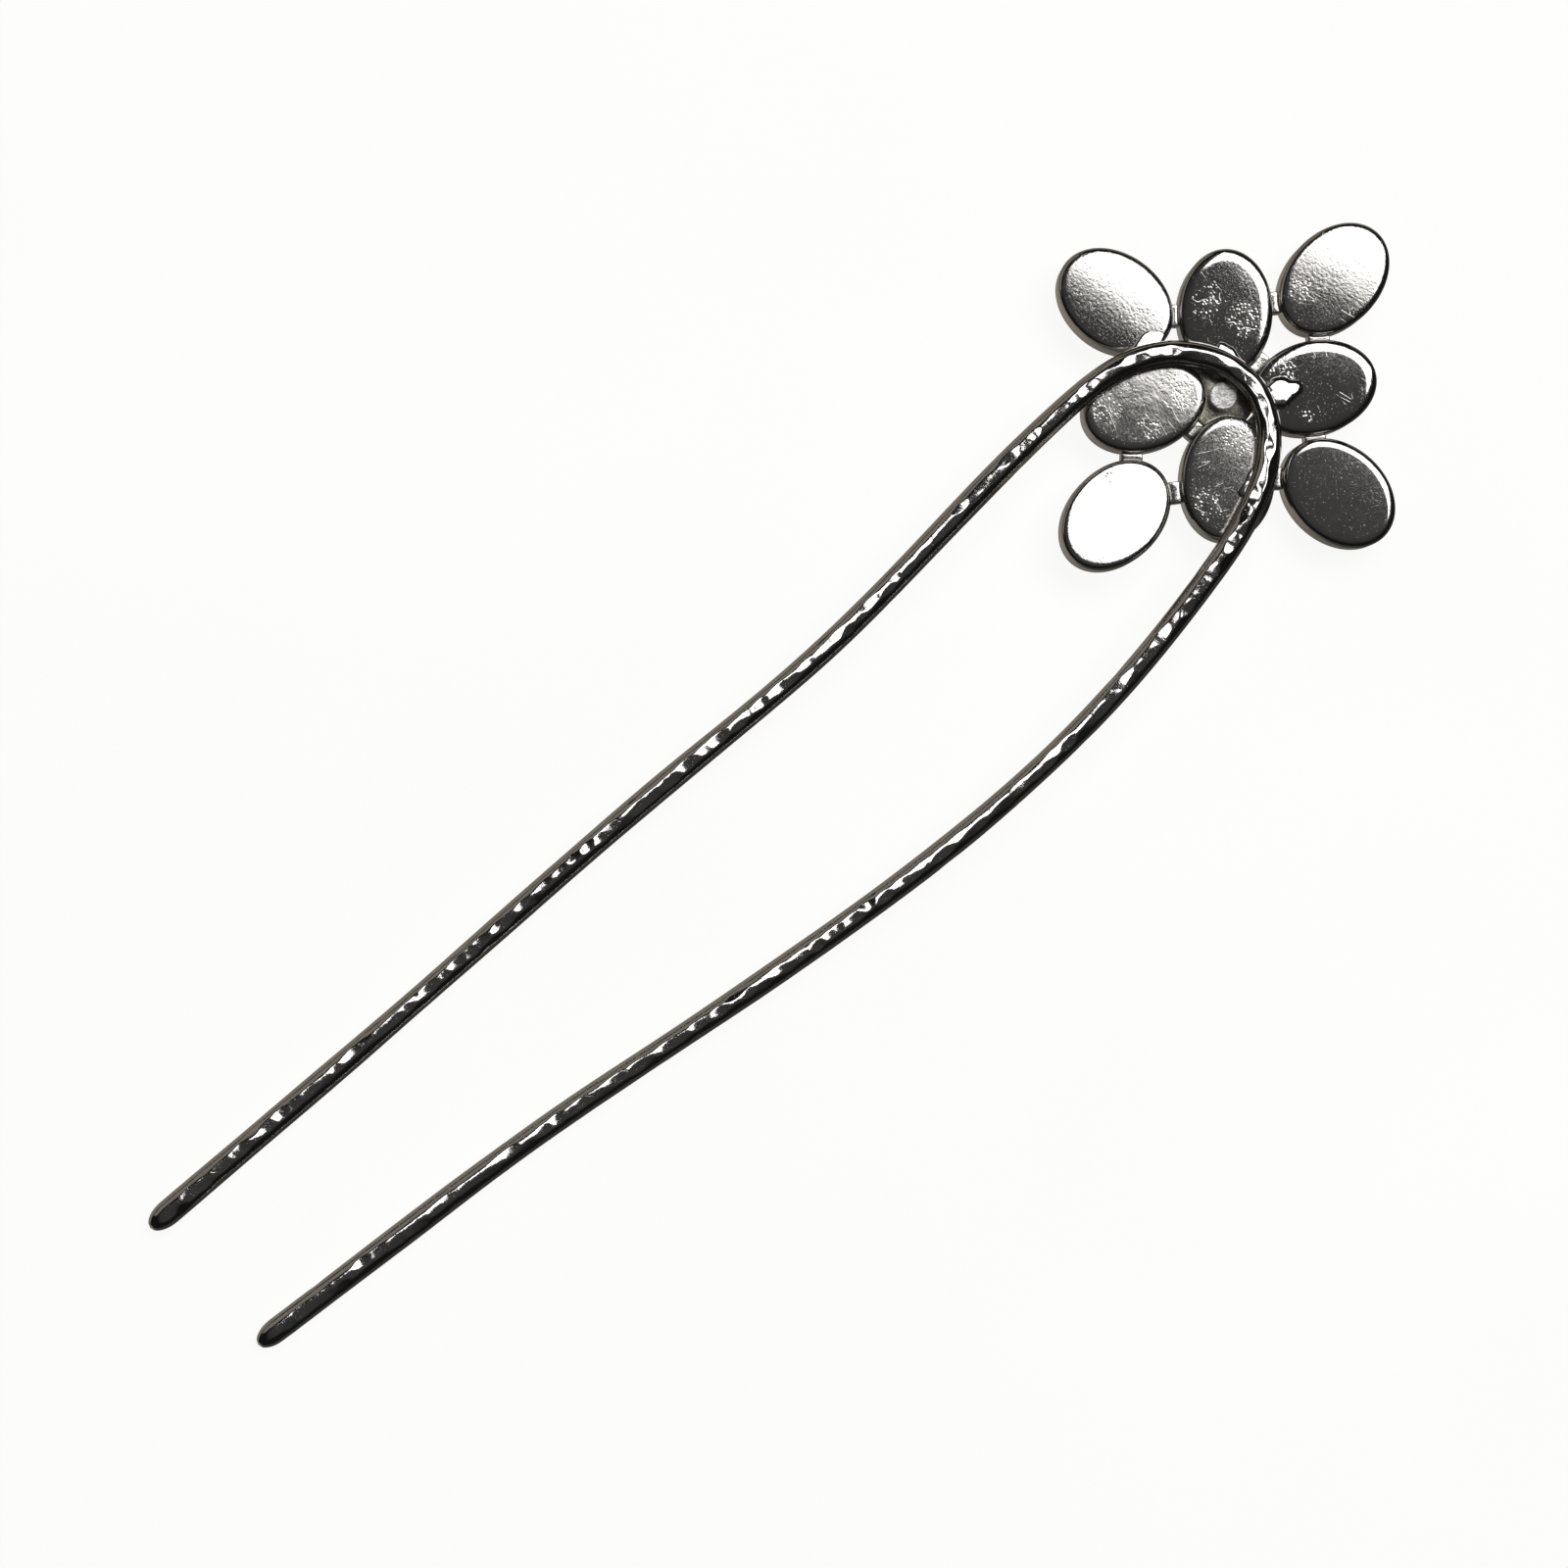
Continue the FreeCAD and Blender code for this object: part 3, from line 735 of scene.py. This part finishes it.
def ground_post():
    """The stub in the middle: filed by hand, so its edge and its face aren't quite true."""
    low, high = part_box("centre_post")
    centre = (low + high) / 2
    radius = (high.x - low.x) / 2
    bevel = POST_BEVEL
    outline = [(radius, low.z), (radius, high.z - bevel), (radius - 0.4 * bevel, high.z - 0.3 * bevel)]
    outline += [(share * (radius - bevel), high.z) for share in np.linspace(1.0, 0.05, 14)]
    points = []
    for reach, height in outline:
        for step in range(POST_AROUND):
            turn = 2 * math.pi * step / POST_AROUND
            way = Vector((math.cos(turn), math.sin(turn), 0.0))
            place = centre + way * reach * (1 + 0.025 * noise.noise(way * 2.0))
            dip = POST_DIP * noise.noise(place / (0.5 * MM)) if height > high.z - bevel else 0.0
            points.append((place.x, place.y, height - abs(dip)))
    points.append((centre.x, centre.y, low.z))
    points.append((centre.x, centre.y, high.z))
    faces = tube_faces(len(outline), POST_AROUND)
    piece = new_piece("ground_post", points, faces, GROUND, "centre_post")
    piece.data.materials.append(WIRE_METAL)
    for face in piece.data.polygons:
        face.material_index = 1 if abs(face.normal.z) < 0.3 else 0


def cut_stone(name):
    """A stone with the CAD's facets, each of them flat and crisp."""
    points, faces = as_lists(welded(name))
    piece = new_piece(name.replace("stone", "crystal"), points, faces, CRYSTAL, name)
    piece.data.polygons.foreach_set("use_smooth", [False] * len(piece.data.polygons))


# --- Floor, light and camera ---------------------------------------------------

FLOOR_GLOW = 0.82
FLOOR_GLOW_STRENGTH = 1.2
FLOOR_HALF_SIZE = 3.0
FLOOR_GAP = 0.01 * MM
PAPER = (0.93, 0.93, 0.92, 1.0)
PAPER_LIGHTER = (0.95, 0.95, 0.94, 1.0)
# Painted reflection: the colours the floor glows with in the metal, dark on one side and taupe on the
# other, standing in for the mirrored room.
PAINTED_REFLECTION_DARK = (0.045, 0.043, 0.040, 1.0)
PAINTED_REFLECTION_TAUPE = (0.22, 0.203, 0.172, 1.0)
PAINTED_TAUPE_SIDE = (1.0, 0.2, 0.0)


def paper_with_painted_reflection():
    """Pale paper to the camera; in the metal a painted reflection, taupe on one side and dark on the
    other.
    """
    n = Nodes("pale_floor_with_painted_reflection")
    seen = n.add("ShaderNodeLightPath").outputs["Is Camera Ray"]
    paper = n.mix(n.noise(0.05, detail=2.0), PAPER, PAPER_LIGHTER)
    coming = n.add("ShaderNodeNewGeometry").outputs["Incoming"]
    side = n.add("ShaderNodeVectorMath", {0: coming, 1: PAINTED_TAUPE_SIDE}, operation="DOT_PRODUCT")
    painted_taupe_share = n.remap(side.outputs["Value"], -0.35, 0.15)
    # Painted reflection: what the metal mirrors of the floor turns from dark to taupe with the ray's
    # direction, and glows fully for all rays but the camera's.
    painted_reflection = n.mix(painted_taupe_share, PAINTED_REFLECTION_DARK, PAINTED_REFLECTION_TAUPE)
    shade = n.mix(seen, painted_reflection, paper)
    lit = n.add("ShaderNodeBsdfDiffuse", {"Color": shade}).outputs["BSDF"]
    glow_inputs = {"Color": shade, "Strength": FLOOR_GLOW_STRENGTH}
    glow = n.add("ShaderNodeEmission", glow_inputs).outputs["Emission"]
    both = n.add("ShaderNodeMixShader", {"Fac": n.remap(seen, 0.0, 1.0, 1.0, FLOOR_GLOW)})
    n.tree.links.new(lit, both.inputs[1])
    n.tree.links.new(glow, both.inputs[2])
    return n.finish(both.outputs["Shader"])


def floor():
    """A plain pale floor that glows a little, like a light table; in the metal it shows a dull painted
    reflection.
    """
    far = FLOOR_HALF_SIZE
    corners = [(-far, -far, 0), (far, -far, 0), (far, far, 0), (-far, far, 0)]
    mesh = bpy.data.meshes.new("floor")
    mesh.from_pydata(corners, [], [(0, 1, 2, 3)])
    mesh.materials.append(paper_with_painted_reflection())
    thing = bpy.data.objects.new("floor", mesh)
    thing.location.z = CAD_BOX[0][2] - FLOOR_GAP
    bpy.context.scene.collection.objects.link(thing)


def soft_box(name, target, towards, from_vertical, distance, size, radiance, colour, slide=0.0, roll=0.0):
    """An area light that faces the pin, placed by its direction seen from the pin.

    slide moves it along its own width, and roll turns it about its own axis."""
    data = bpy.data.lights.new(name, "AREA")
    data.shape = "RECTANGLE"
    data.size, data.size_y = size
    data.color = colour
    data.energy = radiance * size[0] * size[1] * math.pi
    light = bpy.data.objects.new(name, data)
    flat = Vector((*towards, 0)).normalized()
    angle = math.radians(from_vertical)
    way = flat * math.sin(angle) + Vector((0, 0, math.cos(angle)))
    facing = (-way).to_track_quat("-Z", "Y").to_matrix()
    turned = facing @ Matrix.Rotation(math.radians(roll), 3, "Z")
    place = target + way * distance + turned.col[0] * slide
    light.matrix_world = Matrix.Translation(place) @ turned.to_4x4()
    bpy.context.scene.collection.objects.link(light)
    return light


FLOWER = Vector((0.0, 0.0, CUP_BACK))
MIDDLE = Vector((0.0, -60 * MM, 3 * MM))
KEY_SLIDE = 0.08
PICTURE_RIGHT = Vector((0.6414, 0.7672, 0.0))
PICTURE_UP = Vector((-0.7672, 0.6414, 0.0))


ROOM_DARK_BELOW = 0.70
ROOM_BRIGHT_ABOVE = 0.98
ROOM_LOW = 0.010
ROOM_OVERHEAD = 0.056
ROOM_SEEN = 0.93
ROOM_COLOUR = (0.97, 0.98, 1.0, 1.0)


def dim_room():
    """The room as the metal mirrors it: grey overhead, nearly black low down."""
    world = bpy.data.worlds.new("dim_room")
    world.use_nodes = True
    tree = world.node_tree
    tree.nodes.clear()
    where = tree.nodes.new("ShaderNodeTexCoord")
    split = tree.nodes.new("ShaderNodeSeparateXYZ")
    tree.links.new(where.outputs["Generated"], split.inputs["Vector"])
    overhead = tree.nodes.new("ShaderNodeMapRange")
    overhead.interpolation_type = "SMOOTHSTEP"
    tree.links.new(split.outputs["Z"], overhead.inputs["Value"])
    overhead.inputs["From Min"].default_value = ROOM_DARK_BELOW
    overhead.inputs["From Max"].default_value = ROOM_BRIGHT_ABOVE
    overhead.inputs["To Min"].default_value = ROOM_LOW
    overhead.inputs["To Max"].default_value = ROOM_OVERHEAD
    seen = tree.nodes.new("ShaderNodeLightPath")
    choose = tree.nodes.new("ShaderNodeMix")
    tree.links.new(seen.outputs["Is Camera Ray"], choose.inputs[0])
    tree.links.new(overhead.outputs["Result"], choose.inputs[2])
    choose.inputs[3].default_value = ROOM_SEEN
    background = tree.nodes.new("ShaderNodeBackground")
    background.inputs["Color"].default_value = ROOM_COLOUR
    tree.links.new(choose.outputs[0], background.inputs["Strength"])
    output = tree.nodes.new("ShaderNodeOutputWorld")
    tree.links.new(background.outputs["Background"], output.inputs["Surface"])
    bpy.context.scene.world = world


COOL_WHITE = (0.99, 0.99, 1.0)
WARM_WHITE = (1.0, 0.9, 0.8)
KEY_SIZE = (0.60, 0.36)
KEY_RADIANCE = 3.2
KEY_ROLL = 18.0
STRIP_SIZE = (0.22, 0.62)
STRIP_RADIANCE = 3.2
STRIP_TOWARDS = (-1.0, -0.22)
WALL_SIZE = (1.1, 0.5)
WALL_RADIANCE = 0.24


def lights():
    """The window-like key over the flower, a strip only for the wire, and a warm wall."""
    key_side = (0.0, 1.0)
    soft_box(
        "key", FLOWER, key_side, 28.0, 0.7, KEY_SIZE, KEY_RADIANCE, COOL_WHITE, KEY_SLIDE, KEY_ROLL
    )
    strip = soft_box(
        "strip", MIDDLE, STRIP_TOWARDS, 17.0, 1.0, STRIP_SIZE, STRIP_RADIANCE, COOL_WHITE
    )
    wire_only = bpy.data.collections.new("wire_only")
    wire_only.objects.link(bpy.data.objects["hammered_wire"])
    strip.light_linking.receiver_collection = wire_only
    left = -PICTURE_RIGHT + 0.8 * PICTURE_UP
    soft_box("left_wall", FLOWER, left[:2], 66, 0.9, WALL_SIZE, WALL_RADIANCE, WARM_WHITE)


CAMERA_FOOT = Vector((1.37 * MM, -51.0 * MM, 5.4 * MM))
CAMERA_DISTANCE = 284.6 * MM
PICTURE_WIDTH = 136.0 * MM
SENSOR_WIDTH = 36.0


def camera():
    """Straight above the middle of the pin, its long side across the picture."""
    data = bpy.data.cameras.new("camera")
    data.sensor_width = SENSOR_WIDTH
    data.lens = SENSOR_WIDTH * CAMERA_DISTANCE / PICTURE_WIDTH
    thing = bpy.data.objects.new("camera", data)
    turn = Matrix((PICTURE_RIGHT, PICTURE_UP, (0, 0, 1))).transposed()
    place = CAMERA_FOOT + Vector((0, 0, CAMERA_DISTANCE))
    thing.matrix_world = Matrix.Translation(place) @ turn.to_4x4()
    data.clip_start = 0.01
    data.clip_end = 20.0
    bpy.context.scene.collection.objects.link(thing)
    bpy.context.scene.camera = thing


hammered_wire()
all_cups()
for number in (1, 2, 3, 4):
    solder_pool(number)
for name in [name for name in NODES if "stone" in name]:
    cut_stone(name)
ground_post()
bridges_and_filler()
floor()
lights()
dim_room()
camera()
bpy.context.scene.view_settings.view_transform = "Standard"
